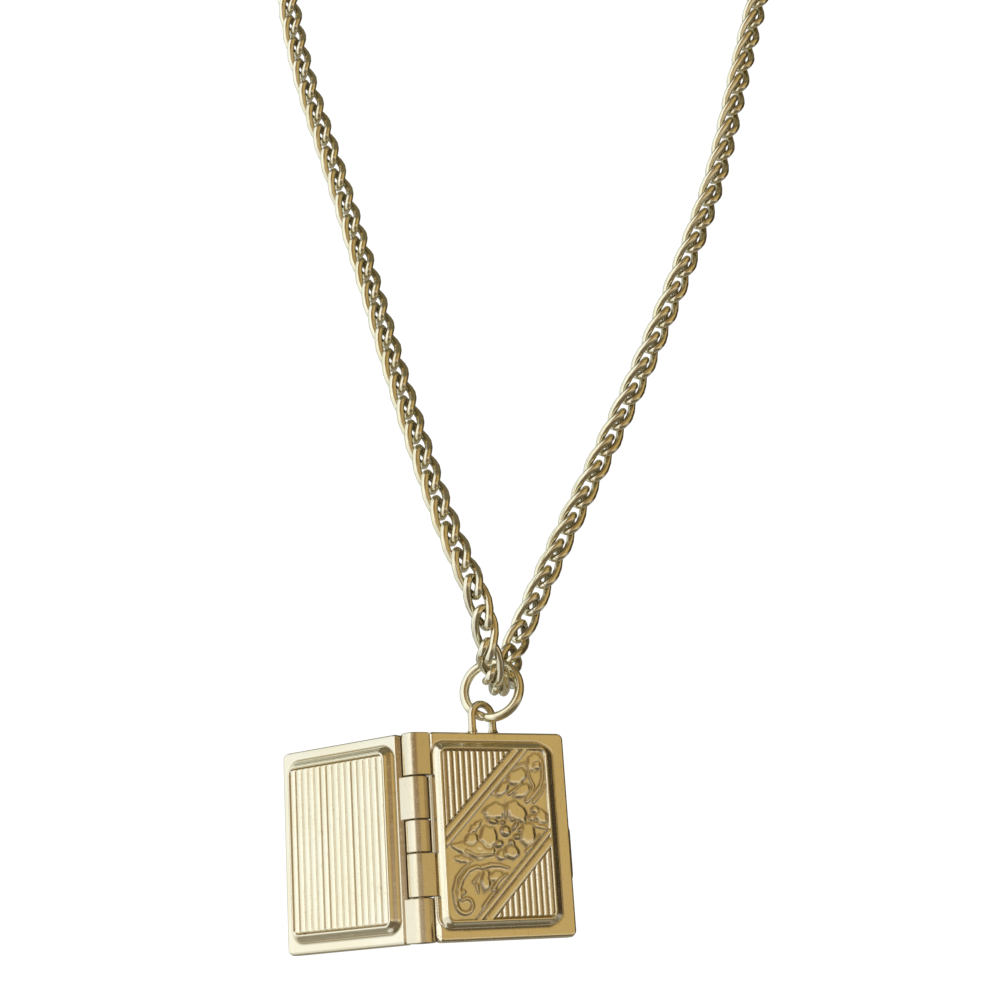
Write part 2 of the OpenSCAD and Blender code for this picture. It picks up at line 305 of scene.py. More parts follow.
def ring_faces(rows: int, count: int, closed_rows: bool = False, start: int = 0) -> Faces:
    """Quads between closed loops of equal count.

    Args:
        rows: number of loops.
        count: points in each loop.
        closed_rows: whether the last loop joins the first.
        start: index of the first point.

    Returns:
        The quads.
    """
    faces = []
    for r in range(rows if closed_rows else rows - 1):
        a, b = start + r*count, start + ((r + 1) % rows)*count
        faces += [(a + i, a + (i + 1) % count, b + (i + 1) % count, b + i) for i in range(count)]
    return faces


def wire_loops(path: Array, n: Array, b: Array, radius: Array, sides: int) -> Array:
    """Points in loops round a wire's path, from each loop's direction n towards b."""
    a = np.linspace(0, 2*math.pi, sides, endpoint=False)
    out = np.cos(a)[None, :, None]*n[:, None] + np.sin(a)[None, :, None]*b[:, None]
    return (path[:, None] + radius[:, None, None]*out).reshape(-1, 3)


def swept_wire(path: Array, radius: Array, sides: int = 20,
               up: Sequence[float] = (0.0, 1.0, 0.0)) -> tuple[Array, Faces]:
    """A round wire along an open path.

    Args:
        path: points of its middle line.
        radius: one radius for each point.
        sides: points round the wire.
        up: direction that the section's first point leans to.

    Returns:
        Vertices and faces, with capped ends.
    """
    along = unit(np.vstack([path[1:], path[-1:]]) - np.vstack([path[:1], path[:-1]]))
    n = unit(np.cross(np.broadcast_to(np.asarray(up, float), along.shape), along))
    faces = ring_faces(len(path), sides)
    faces += [tuple(range(sides))[::-1], tuple((len(path) - 1)*sides + i for i in range(sides))]
    return wire_loops(path, n, np.cross(along, n), radius, sides), faces


def joined(parts: Sequence[tuple[Array, Faces]]) -> tuple[Array, Faces]:
    """Several meshes as one.

    Args:
        parts: vertices and faces of each.

    Returns:
        All vertices and all faces.
    """
    verts, faces, start = [], [], 0
    for v, f in parts:
        verts.append(v)
        faces += [tuple(i + start for i in face) for face in f]
        start += len(v)
    return np.vstack(verts), faces


# Covers and their relief


@dataclass(frozen=True)
class Book:
    """Sizes of the covers: the flat border, the flank's slope and the raised panel.

    The border's fall beside the hinge is given by its width and its depth.
    """

    height: float = 21.0
    cover_w: float = 15.7
    border_h: float = 1.3
    panel_rise: float = 0.85
    metal_t: float = 0.45
    edge_x: float = 1.05
    cove_r: float = 1.34
    rim_gap: float = 0.05
    corner_r: float = 0.7
    bevel: float = 0.35
    wall: float = 0.6
    border_spine: float = 0.25
    border_fore: float = 1.45
    border_top: float = 1.0
    border_foot: float = 1.1
    flank_run: float = 0.7
    spine_run: float = 0.55
    fore_run: float = 1.15
    spine_fall: Pair = (0.45, 0.4)
    panel_corner: float = 0.8
    panel_rim: float = 0.2
    field_depth: float = 0.3

    @property
    def middle(self) -> Array:
        """Middle of a cover in plan."""
        return np.array([self.edge_x + self.cover_w/2, 0.0])

    @property
    def panel_box(self) -> tuple[Array, Array]:
        """The top of the panel.

        Returns:
            Its middle and its size.
        """
        low = np.array([self.edge_x + self.border_spine + self.spine_run,
                        -self.height/2 + self.border_foot + self.flank_run])
        high = np.array([self.edge_x + self.cover_w - self.border_fore - self.fore_run,
                         self.height/2 - self.border_top - self.flank_run])
        return (low + high)/2, high - low


def inside_rounded(x: Array, y: Array, size: Array, r: float) -> Array:
    """Distance inwards from a rounded rectangle's edge, negative outside."""
    qx, qy = np.abs(x) - size[0]/2 + r, np.abs(y) - size[1]/2 + r
    return r - np.hypot(np.maximum(qx, 0), np.maximum(qy, 0)) - np.minimum(np.maximum(qx, qy), 0)


def rounded_square(u: Array, v: Array, size: Array, r: float) -> tuple[Array, Array]:
    """Maps the square of u and v from -1 to 1 on a rounded rectangle.

    Args:
        u: position across.
        v: position up.
        size: the rectangle's width and height.
        r: its corners' radius.

    Returns:
        The x and y of each point.
    """
    x, y = u*size[0]/2, v*size[1]/2
    qx = (np.abs(x) - size[0]/2 + r)/r
    qy = (np.abs(y) - size[1]/2 + r)/r
    corner = (qx > 0) & (qy > 0)
    scale = np.where(corner, np.maximum(qx, qy)/np.maximum(np.hypot(qx, qy), 1e-9), 1)
    cx, cy = size[0]/2 - r, size[1]/2 - r
    return (np.where(corner, np.sign(x)*(cx + qx*scale*r), x),
            np.where(corner, np.sign(y)*(cy + qy*scale*r), y))


def blurred(h: Array, passes: int, own: float) -> Array:
    """Heights averaged with their four neighbours.

    Args:
        h: the heights.
        passes: how many times.
        own: weight of a point's own height, a neighbour's being 1.

    Returns:
        The softer heights.
    """
    for _ in range(passes):
        pad = np.pad(h, 1, mode="edge")
        h = (pad[:-2, 1:-1] + pad[2:, 1:-1] + pad[1:-1, :-2] + pad[1:-1, 2:] + own*h)/(4 + own)
    return h


class Relief:
    """Heights above a field's floor, raised piece by piece, with painted shade along the line round each
    piece.
    """

    line_width = 0.11

    def __init__(self, x: Array, y: Array) -> None:
        """Starts flat at the points given."""
        self.x, self.y = x, y
        self.h, self.lines = np.zeros_like(x), np.zeros_like(x)

    def _raise(self, inside: Array, top: Array, groove: float) -> None:
        """Raises what is inside to top, cuts a line round it as deep as groove and paints shade along that
        line.
        """
        line = np.exp(-(inside/self.line_width)**2)
        self.h = np.where(inside > 0, np.maximum(top, self.h*0.4), self.h) - line*groove
        # Painted shade along the cut line, cleared inside each raised piece
        self.lines = np.where(inside > 0.05, line, np.maximum(self.lines, line))

    def _shares(self, x: float, y: float, length: float, width: float, angle: float) -> tuple[Array, Array]:
        """How far along and across a petal or leaf at x and y each point lies, as shares of its size."""
        c, s = math.cos(math.radians(angle)), math.sin(math.radians(angle))
        dx, dy = self.x - x, self.y - y
        return (dx*c + dy*s)/length, (dy*c - dx*s)/width

    def lobe(self, x: float, y: float, length: float, width: float, angle: float,
             rise: float, dish: float = 0.0, waves: float = 0.0) -> None:
        """A petal or bud with a flat top and a rounded edge.

        Args:
            x: middle across the panel.
            y: middle up the panel.
            length: half its length.
            width: half its width.
            angle: direction of its length in degrees.
            rise: height of its top.
            dish: depth of the hollow in its top.
            waves: how far its outline waves in and out.
        """
        a, b = self._shares(x, y, length, width, angle)
        round_it = np.arctan2(b, a)
        r = np.hypot(a, b)/(1 + waves*np.cos(5*round_it + x) + 0.5*waves*np.cos(8*round_it + y))
        top = rise*np.clip(1 - r**3.6, 0, 1)
        top = top - dish*np.exp(-(r/0.45)**2)
        self._raise((1 - r)*min(length, width), top, groove=0.05)

    def leaf(self, x: float, y: float, length: float, width: float, angle: float,
             rise: float, teeth: float, bend: float = 0.0) -> None:
        """A pointed leaf with a midrib and side veins.

        Args:
            x: its root across the panel.
            y: its root up the panel.
            length: from root to tip.
            width: its widest half width.
            angle: direction of its length in degrees.
            rise: height of its top.
            teeth: depth of the waves on its edge, as a share of its width.
            bend: sideways curve of its midrib, as a share of its length.
        """
        a, b = self._shares(x, y, length, width, angle)
        b = b - 4*bend*length/width*a*(1 - a)
        ac = np.clip(a, 0, 1)
        edge = (np.sin(math.pi*ac**0.75)**0.8)*(1 - teeth + teeth*np.cos(ac*19))
        inside = np.where((a > 0) & (a < 1), (edge - np.abs(b))*width, -1.0)
        body = np.clip(1 - (np.abs(b)/np.maximum(edge, 1e-3))**2, 0, 1)
        veins = 0.035*np.cos((a*13 - np.abs(b)*3.0)*2)
        top = rise*np.sqrt(body)*(0.75 + 0.25*body) - 0.05*np.exp(-(b/0.12)**2) + veins*body
        self._raise(np.clip(inside, -1, 1), top, groove=0.04)

    def stem(self, points: Array, width: float, rise: float = 0.22) -> None:
        """A round stem or scroll along a path.

        Args:
            points: the path across the panel.
            width: half width at its thickest.
            rise: its height.
        """
        far = np.full(self.x.shape, 9.0)
        taper = np.ones(self.x.shape)
        count = len(points) - 1
        for i, (p, q) in enumerate(zip(points[:-1], points[1:])):
            d = q - p
            t = np.clip(((self.x - p[0])*d[0] + (self.y - p[1])*d[1])/(d @ d), 0, 1)
            dist = np.hypot(self.x - p[0] - t*d[0], self.y - p[1] - t*d[1])
            closer = dist < far
            far = np.where(closer, dist, far)
            taper = np.where(closer, 1.15 - 0.65*(i + t)/count, taper)
        w = width*taper
        self._raise(w - far, rise*np.sqrt(np.clip(1 - (far/w)**2, 0, 1)), groove=0.04)


# Parts of the flower band, from the band's middle. Stems: half width, then the path's points
STEMS = (
    (0.28, (-5.15, -6.3), (-5.15, -5.4), (-4.75, -4.5), (-4.0, -3.65), (-3.1, -3.3), (-2.2, -3.45)),
    (0.2, (-5.55, -6.9), (-5.7, -5.6), (-5.3, -4.3), (-4.6, -3.5), (-3.8, -2.95)),
    (0.22, (-2.4, -3.4), (-1.4, -3.15), (-0.4, -3.2), (0.6, -3.5)),
    (0.2, (3.1, 3.2), (4.0, 3.9), (4.75, 4.7), (5.1, 5.5), (5.2, 6.4), (5.25, 7.3), (4.9, 8.1)),
    (0.17, (3.9, 3.15), (4.8, 4.0), (5.4, 4.9)),
    (0.17, (3.1, 3.5), (3.7, 4.1), (4.05, 4.8), (3.75, 5.35), (3.6, 5.9), (3.55, 6.5), (3.35, 7.05)),
    (0.14, (1.0, 6.0), (1.6, 6.6), (2.4, 6.95), (3.3, 7.25)),
    (0.17, (2.7, -1.9), (3.3, -1.4), (3.9, -0.7), (4.35, -0.2)),
    (0.2, (-2.5, -7.3), (-1.7, -6.3), (-0.9, -5.6)),
    (0.15, (-3.5, -4.85), (-2.75, -4.0)),
    (0.2, (-3.15, -5.15), (-3.0, -5.9)),
)
# Stems laid over the leaves, the same columns
CRESTS = (
    (0.14, (1.1, 3.95), (1.8, 4.4), (2.3, 4.8), (2.75, 5.15)),
    (0.2, (-1.35, -5.65), (-0.9, -4.95), (-0.3, -4.45), (0.3, -4.1)),
    (0.15, (-4.1, -1.75), (-3.1, -2.2), (-1.0, -2.15)),
)
# Pointed leaves: x, y, length, half width, angle, rise, teeth, bend
LEAVES = (
    (-0.9, -1.75, 5.0, 1.05, 173, 0.24, 0.08, 0.03),
    (-3.7, 0.0, 2.1, 0.42, 41, 0.24, 0.15),
    (3.2, 1.0, 2.5, 0.3, -15, 0.2, 0.05),
    (0.3, 3.9, 1.9, 0.3, 168, 0.16, 0.05),
    (-5.5, -2.4, 2.2, 0.4, -10, 0.18, 0.1),
)
# Rounded lobes: x, y, half length, half width, angle, rise, dish, waves
LOBES = (
    (2.15, 5.7, 1.35, 0.78, 25, 0.25, 0.0, 0.05),
    (0.4, 4.45, 1.0, 0.5, 42, 0.22, 0.0, 0.04),
    (2.65, 4.25, 1.15, 0.62, 28, 0.24, 0.0, 0.04),
    (4.3, 7.2, 0.98, 0.85, 60, 0.24, 0.05, 0.05),
    (4.6, 6.9, 0.5, 0.45, 20, 0.27),
    (4.65, 1.65, 0.9, 0.72, -60, 0.25, 0.03, 0.08),
    (4.0, 2.35, 0.5, 0.38, 10, 0.24),
    (3.6, 1.5, 0.42, 0.38, 0, 0.22),
    (-3.45, -0.6, 0.85, 0.6, 20, 0.27, 0.04, 0.05),
    (-2.1, -4.7, 1.15, 0.58, 82, 0.25, 0.02, 0.05),
    (-0.95, -4.3, 0.85, 0.48, 20, 0.2, 0.02, 0.05),
    (-0.65, 2.2, 1.35, 0.85, 12, 0.3, 0.07, 0.07),
    (1.85, 2.1, 1.4, 1.0, -38, 0.3, 0.06, 0.06),
    (-1.5, -0.4, 1.15, 1.08, 100, 0.3, 0.05, 0.07),
    (2.95, -0.2, 1.25, 0.98, 80, 0.3, 0.03, 0.04),
    (-0.15, -2.2, 0.66, 0.55, 30, 0.27, 0.05, 0.05),
    (1.0, -1.95, 0.92, 0.76, 0, 0.31, 0.03, 0.05),
    (-0.9, 1.2, 0.65, 0.24, -12, 0.32),
    (-0.4, -1.1, 0.55, 0.36, 20, 0.34),
    (1.1, -1.0, 0.4, 0.3, -60, 0.34),
    (1.75, -0.38, 0.42, 0.28, 10, 0.34),
    (2.15, 0.3, 0.3, 0.2, 40, 0.34),
    (1.6, 0.7, 0.66, 0.2, 52, 0.36),
    (0.6, 2.1, 0.8, 0.17, 88, 0.36),
    (0.2, 1.05, 0.26, 0.22, 0, 0.36),
    (1.3, 1.35, 0.24, 0.17, 30, 0.36),
    (0.45, 0.2, 0.6, 0.58, 0, 0.4),
)
# Ridges along the band's edges: distance from the diagonal, half width
RIDGES = ((4.5, 0.4), (3.76, 0.3), (-4.55, 0.44), (-3.78, 0.3))


@dataclass(frozen=True)
class FlowerBand:
    """The front cover's diagonal band with its double edges.

    A groove is given by its depth and its half width. The scroll at the foot
    starts at an angle in degrees, turns through its sweep and loses a share of
    its radius on the way in.
    """

    at: Pair = (8.43, 0.05)
    low: float = -5.0
    high: float = 4.92
    inner_low: float = -3.46
    inner_high: float = 3.44
    relief: float = 0.62
    floor_h: float = 0.05
    floor_waves: float = 0.012
    ridge_foot: float = 0.08
    ridge_share: float = 0.7
    groove: Pair = (0.05, 0.06)
    scroll_at: Pair = (-4.45, -6.95)
    scroll_r: float = 1.18
    scroll_start: float = 100.0
    scroll_sweep: float = 395.0
    scroll_loss: float = 0.6
    scroll_width: float = 0.24
    scroll_points: int = 28

    def across(self, x: Array, y: Array) -> Array:
        """Distance from the diagonal, up and to the left."""
        return (y - x)*math.sqrt(0.5)

    def scroll(self) -> Array:
        """The path of the scroll.

        Returns:
            Points from its outer end to the inner one.
        """
        share = np.linspace(0, 1, self.scroll_points)
        a = np.radians(self.scroll_start + share*self.scroll_sweep)
        r = self.scroll_r*(1 - self.scroll_loss*share**1.1)
        return np.stack([self.scroll_at[0] + r*np.cos(a), self.scroll_at[1] + r*np.sin(a)], -1)

    def fill(self, relief: Relief) -> None:
        """Raises the flower, leaves, stems and scroll.

        Args:
            relief: the relief that gets them.
        """
        relief.stem(self.scroll(), self.scroll_width)
        for width, *points in STEMS:
            relief.stem(np.array(points), width)
        for row in LEAVES:
            relief.leaf(*row)
        for row in LOBES:
            relief.lobe(*row)
        for width, *points in CRESTS:
            relief.stem(np.array(points), width, rise=0.3)

    def heights(self, x: Array, y: Array, ribs: Array, depth: float) -> tuple[Array, Array]:
        """Heights over the front cover's field.

        Args:
            x: position across the panel from the band's middle.
            y: position up the panel from the band's middle.
            ribs: height of the ribs there.
            depth: the field's depth below the rim.

        Returns:
            Height above the field's floor, and the painted shade along the flowers' outlines.
        """
        q = self.across(x, y)
        floor = self.floor_h + self.floor_waves*np.cos(x*2.1)*np.cos(y*1.7)
        mask = smooth_step(q, self.inner_low - 0.02, self.inner_low + 0.1) \
            * smooth_step(-q, -self.inner_high - 0.02, -self.inner_high + 0.1)
        flowers = Relief(x, y)
        self.fill(flowers)
        raised = floor + self.relief*blurred(flowers.h, passes=7, own=2)*mask
        h = np.where((q > self.low) & (q < self.high), raised, ribs)
        for mid, half in RIDGES:
            t = np.clip(1 - ((q - mid)/half)**2, 0, 1)
            ridge = (depth + 0.02)*t**0.4*self.ridge_share + self.ridge_foot
            h = np.where(np.abs(q - mid) < half, ridge, h)
        edge = np.minimum(np.abs(q - self.low), np.abs(q - self.high))
        return h - self.groove[0]*np.exp(-(edge/self.groove[1])**2), flowers.lines*mask


@dataclass
class Cover:
    """One pressed cover: face, walls and inside.

    The groove at the flank's foot is given by its depth and its half width.
    """

    book: Book
    side: Side
    ribs: int
    rib_rise: float = 0.28
    rib_power: float = 1.35
    band: FlowerBand | None = None
    groove: Pair = (0.05, 0.09)
    flank_swell: float = 0.05
    rim_crown: float = 0.05
    rib_end: float = 0.28
    # Painted shade over the cover's inside, and the strength of the painted shade in recesses
    inside_shade: float = 0.35
    recess_shade_gain: float = 14.0
    cells: tuple[int, int] = (230, 300)

    def rib_heights(self, x: Array, width: float) -> Array:
        """Heights of the ribs side by side over the field, all as high as the rim."""
        from_ridge = np.abs(2*((x + width/2)*self.ribs/width % 1.0) - 1)
        return self.book.field_depth - self.rib_rise*from_ridge**self.rib_power

    def face_heights(self, x: Array, y: Array) -> tuple[Array, Array]:
        """Shape of the outer face.

        Args:
            x: position across in the plan frame.
            y: position up in the plan frame.

        Returns:
            Height of each point, and the painted shade along the flowers' outlines.
        """
        b = self.book
        mid, size = b.panel_box
        field = size - 2*b.panel_rim
        border = inside_rounded(x - b.middle[0], y, np.array([b.cover_w, b.height]), b.corner_r)
        t = np.clip(1 - border/b.bevel, 0, 1)
        z = b.border_h - b.bevel*(1 - np.sqrt(1 - t**2))
        z = np.minimum(z, b.border_h - b.spine_fall[1]*np.clip(1 - (x - b.edge_x)/b.spine_fall[0], 0, 1))
        run_x = np.where(x > mid[0], b.fore_run, b.spine_run)
        past = np.abs(x - mid[0]) - size[0]/2
        squeezed = np.where(past > 0, past*b.flank_run/run_x, past) + size[0]/2
        panel = inside_rounded(squeezed, y - mid[1], size + 2*b.flank_run, b.panel_corner + b.flank_run)
        run = np.clip(panel/b.flank_run, 0, 1)
        z = z + b.panel_rise*(run + self.flank_swell*np.sin(run*2*math.pi))
        z = z - self.groove[0]*np.exp(-(panel/self.groove[1])**2)
        rim = inside_rounded(x - mid[0], y - mid[1], field, b.panel_corner - b.panel_rim)
        z = z + self.rim_crown*np.clip(1 - ((rim + b.panel_rim/2)/(b.panel_rim/2 + 0.06))**2, 0, 1)
        ribs = self.rib_heights(x - mid[0], field[0])
        ribs = ribs*smooth_step(field[1]/2 - np.abs(y - mid[1]), 0.0, self.rib_end)
        if self.band:
            h, lines = self.band.heights(x - self.band.at[0], y - self.band.at[1], ribs, b.field_depth)
        else:
            h, lines = ribs, np.zeros_like(ribs)
        sunk = smooth_step(rim, -0.04, 0.08)
        return z*(1 - sunk) + (b.border_h + b.panel_rise - b.field_depth + h)*sunk, lines*sunk

    def shell(self) -> tuple[Array, Faces, Array]:
        """The whole shell.

        Returns:
            Vertices in the plan frame, faces and the painted shade and tarnish of each vertex.
        """
        b, (nx, ny) = self.book, self.cells
        u, v = np.meshgrid(np.linspace(-1, 1, nx + 1), np.linspace(-1, 1, ny + 1))
        whole = np.array([b.cover_w, b.height])
        x, y = rounded_square(u, v, whole, b.corner_r)
        z, outline_shade = self.face_heights(x + b.middle[0], y)
        top = np.stack([x + b.middle[0], y, z], -1).reshape(-1, 3)
        row = nx + 1
        base = np.arange(ny)[:, None]*row + np.arange(nx)[None]
        quads = np.stack([base, base + 1, base + row + 1, base + row], -1).reshape(-1, 4)
        rim = (list(range(nx)) + [j*row + nx for j in range(ny)]
               + [ny*row + i for i in range(nx, 0, -1)] + [j*row for j in range(ny, 0, -1)])
        ur, vr = u.reshape(-1)[rim], v.reshape(-1)[rim]
        mid, size = b.panel_box
        inner = np.array([b.cover_w - 2*b.wall, b.height - 2*b.wall])
        pocket = size - 2*b.panel_rim
        under_border = b.border_h - b.metal_t
        under_field = b.border_h + b.panel_rise - b.field_depth - b.metal_t
        # Loops down the walls and over the inside: size, height
        walls = [(whole, 0.75), (whole, 0.55), (whole, 0.35), (whole, b.rim_gap + 0.12),
                 (whole - 0.1, b.rim_gap + 0.03), (whole - 0.24, b.rim_gap), (inner + 0.1, b.rim_gap),
                 (inner, b.rim_gap + 0.06)]
        inside = [(inner, under_border - 0.1), (inner - 0.2, under_border), (inner - 0.3, under_border)]
        hollow = [(pocket + 0.2, under_border), (pocket + 0.1, under_border), (pocket, under_border + 0.06),
                  (pocket, under_field - 0.1), (pocket - 0.2, under_field), (pocket - 0.35, under_field)]
        loops = ([(box, b.corner_r, height, b.middle) for box, height in walls + inside]
                 + [(box, b.panel_corner, height, mid) for box, height in hollow]
                 + [(pocket*0.5, b.panel_corner*0.5, under_field, mid)])
        rings = []
        for box, r, height, centre in loops:
            lx, ly = rounded_square(ur, vr, box, r)
            cove = math.sqrt(b.cove_r**2 - height**2) if height < b.cove_r else 0.0
            rings.append(np.stack([np.maximum(lx + centre[0], cove), ly + centre[1],
                                   np.full_like(lx, height)], -1))
        count, start = len(rim), len(top)
        faces: Faces = quads.tolist()
        faces += [(rim[(i + 1) % count], rim[i], start + i, start + (i + 1) % count) for i in range(count)]
        faces += [f[::-1] for f in ring_faces(len(rings), count, start=start)]
        last = start + (len(rings) - 1)*count
        faces.append(tuple(last + i for i in range(count))[::-1])
        verts = np.vstack([top] + rings)
        shade_and_tarnish = np.zeros(len(verts))
        # Painted shade in recesses, from how far each point lies below its blurred neighbours, with some
        # tarnish
        lines = np.clip((blurred(z, passes=10, own=1) - z)*self.recess_shade_gain, 0, 1)
        if self.band:
            q = self.band.across(x + b.middle[0] - self.band.at[0], y - self.band.at[1])
            between = (q > self.band.inner_low) & (q < self.band.inner_high)
            lines = np.where(between, np.maximum(lines*0.5, outline_shade), lines)
        shade_and_tarnish[:start] = lines.reshape(-1)
        # Painted shade over the inside of the shell
        shade_and_tarnish[start + len(walls)*count:] = self.inside_shade
        # Painted shadow at full strength on the walls beside the hinge, where the open locket's dark inside
        # shows
        spine_shadow = (verts[:, 0] < b.cove_r + 0.1) & (np.arange(len(verts)) >= start)
        shade_and_tarnish[spine_shadow] = 1.0
        return verts, faces, shade_and_tarnish


# Placing


@dataclass
class Hanging:
    """How the pieces hang, as in the part's source."""

    chain: "CurbChain"
    book: Book
    ring_r: float = 3.0
    ring_wire_r: float = 0.5
    bail_r: float = 1.34
    bail_wire_r: float = 0.41
    bail_x: float = 7.6
    bail_turn: float = 12.0
    bail_leg: float = 1.7
    ring_drop: float = 0.4
    ring_side: float = 0.1
    front_yaw: float = 26.0
    rest_turn: float = 16.0
    book_roll: float = 4.6
    book_pitch: float = 7.5
    open_angle: float = 119.0

    @property
    def bail_z(self) -> float:
        """The bail's height above the plane where the covers meet."""
        return (self.book.border_h + self.book.rim_gap)/2

    @property
    def ring_along(self) -> Array:
        """Direction of the ring's plane across the view."""
        a = math.radians(self.chain.ring_yaw)
        return np.array([math.cos(a), math.sin(a), 0.0])

    def from_ring(self, points: Array) -> Array:
        """Points given from the ring's top, in the row frame."""
        return points - np.array([0, 0, self.chain.loop_top])

    def stand(self, plan: Array) -> Array:
        """Plan-frame points stood up in the book's frame."""
        return np.stack([plan[..., 0], -plan[..., 2], plan[..., 1]], -1)

    def place(self, points: Array, side: Side = Side.FRONT) -> Array:
        """Points of the book's frame in the row frame.

        Args:
            points: points with the hinge pin along z.
            side: BACK turns them with the back cover, already mirrored.

        Returns:
            The placed points.
        """
        if side is Side.BACK:
            points = points @ turn((0, 0, 1), self.open_angle - 180).T
        rest_z = (self.book.height/2 + self.bail_leg + self.bail_r - self.bail_wire_r - self.ring_wire_r
                  - self.ring_drop)
        rest = self.ring_side*turn((0, 0, 1), self.bail_turn)[:, 0]
        rest = rest + np.array([self.bail_x, -self.bail_z, rest_z])
        m = turn(self.ring_along, self.book_pitch) @ turn((0, 1, 0), -self.book_roll) \
            @ turn((0, 0, 1), self.front_yaw)
        a = math.radians(self.rest_turn)
        ring_rest = -self.ring_r*(math.sin(a)*self.ring_along + np.array([0, 0, 1 + math.cos(a)]))
        return self.from_ring((points - rest) @ m.T + ring_rest)


@dataclass
class CurbChain:
    """The curb chain: one loop of twisted oval links."""

    side_links: int = 57
    pitch: float = 3.4
    width: float = 2.9
    wire: float = 0.86
    half_share: float = 0.8
    twist: float = 70.0
    power: float = 0.7
    under_ring: float = 1.94
    low_offset: float = 0.45
    ring_yaw: float = -16.0
    clasp_r: float = 2.6
    clasp_wire_r: float = 0.38
    clasp_tilt: float = 70.0
    left_lean: Table = ((0, 0), (12, 26), (26, 20), (50, 18), (80, 21), (110, 5.5), (150, -2.5),
                        (193.8, -90))
    right_lean: Table = ((0, 0), (12, 20), (30, 23), (50, 20), (65, 17), (80, 10), (115, 12.8),
                         (150, -4.8), (193.8, -90))
    link_rise: Table = ((0, 0), (1, 30), (2, 68), (3, 74), (4, 94), (5, 98), (17, 98), (20, 90))
    link_yaw: Table = ((0, 11), (1, 10), (2, -12), (3, 0))
    link_roll: Table = ((0, 0), (1, -9), (2, -25), (3, -12), (4, -2), (5, 0))
    right_roll: Table = ((0, 0), (7, 35), (48, 35), (57, 0))
    points: int = 28
    sides: int = 12

    @staticmethod
    def _look(x: float, table: Table) -> float:
        """Value of a table between its rows."""
        rows = np.array(table)
        return float(np.interp(x, rows[:, 0], rows[:, 1]))

    def axes(self, sign: int, k: int) -> tuple[Array, Array]:
        """Directions along and across link k of a strand.

        Args:
            sign: 1 for the right strand, -1 for the left.
            k: number of links from the lowest one.

        Returns:
            The two directions.
        """
        lean = math.radians(self._look(k*self.pitch, self.right_lean if sign > 0 else self.left_lean))
        rise, yaw = (math.radians(self._look(k, table)) for table in (self.link_rise, self.link_yaw))
        up = np.array([sign*math.sin(lean), 0, math.cos(lean)])
        level = sign*np.array([math.sin(yaw), math.cos(yaw), 0])
        along = unit(math.cos(rise)*level + math.sin(rise)*up)
        flat = (np.array([math.cos(yaw), -math.sin(yaw), 0]) if k == 0
                else np.array([math.cos(lean), 0, -sign*math.sin(lean)]))
        flat = unit(flat - (flat @ along)*along)
        a = math.radians(self._look(k, self.link_roll) + (self._look(k, self.right_roll) if sign > 0 else 0))
        return along, math.cos(a)*flat + math.sin(a)*np.cross(along, flat)

    def middles(self, sign: int) -> list[Array]:
        """Places of a strand's links.

        Args:
            sign: 1 for the right strand, -1 for the left.

        Returns:
            Their middles from the ring's top, lowest first.
        """
        a = math.radians(self.ring_yaw)
        out = [np.array([self.low_offset*math.cos(a), self.low_offset*math.sin(a), -self.under_ring])]
        for k in range(1, self.side_links + 1):
            out.append(out[-1] + self.pitch/2*(self.axes(sign, k - 1)[0] + self.axes(sign, k)[0]))
        return out

    @property
    def loop_top(self) -> float:
        """Height of the loop's top above the ring's."""
        z = (self.middles(-1)[-1][2] + self.middles(1)[-1][2])/2
        return z - self.clasp_r*math.cos(math.radians(self.clasp_tilt)) - self.clasp_wire_r

    def link(self) -> tuple[Array, Faces, Array]:
        """One link along x.

        Returns:
            Vertices, faces and the painted shade of each vertex.
        """
        t = np.linspace(0, 2*math.pi, self.points, endpoint=False)
        c, s = np.cos(t), np.sin(t)
        x, w = (np.sign(v)*np.abs(v)**self.power for v in (c, s))
        w = (self.width - self.wire)/2*w
        a = np.radians(self.twist)*x
        path = np.stack([self.half_share*self.pitch*x, w*np.cos(a), w*np.sin(a)], -1)
        d = unit(np.roll(path, -1, 0) - np.roll(path, 1, 0))
        out = unit(np.stack([c, s*np.cos(a), s*np.sin(a)], -1))
        n = unit(out - np.sum(out*d, -1, keepdims=True)*d)
        verts = wire_loops(path, n, np.cross(d, n), np.full(self.points, self.wire/2), self.sides)
        around = np.linspace(0, 2*math.pi, self.sides, endpoint=False)
        # Painted shade on the wire's inner side, strongest at the link's ends where the next links pass
        inner = np.clip(-np.cos(around), 0, 1)[None, :]*(0.35 + 0.65*np.abs(x)[:, None])
        faces = [f[::-1] for f in ring_faces(self.points, self.sides, True)]
        return verts, faces, inner.reshape(-1)

    def strand(self, sign: int, first: int) -> tuple[Array, Faces, Array]:
        """All links of a strand from the ring's top.

        Args:
            sign: 1 for the right strand, -1 for the left.
            first: the first link to include.

        Returns:
            Vertices, faces and painted shade.
        """
        shape, faces, inner = self.link()
        middles = self.middles(sign)
        parts = []
        for k in range(first, self.side_links + 1):
            along, across = self.axes(sign, k)
            across = unit(across)
            through = np.cross(along, across)
            parts.append((middles[k] + shape @ np.stack([along, across, through]), faces))
        verts, faces_all = joined(parts)
        return verts, faces_all, np.tile(inner, len(parts))


# Sub-assemblies


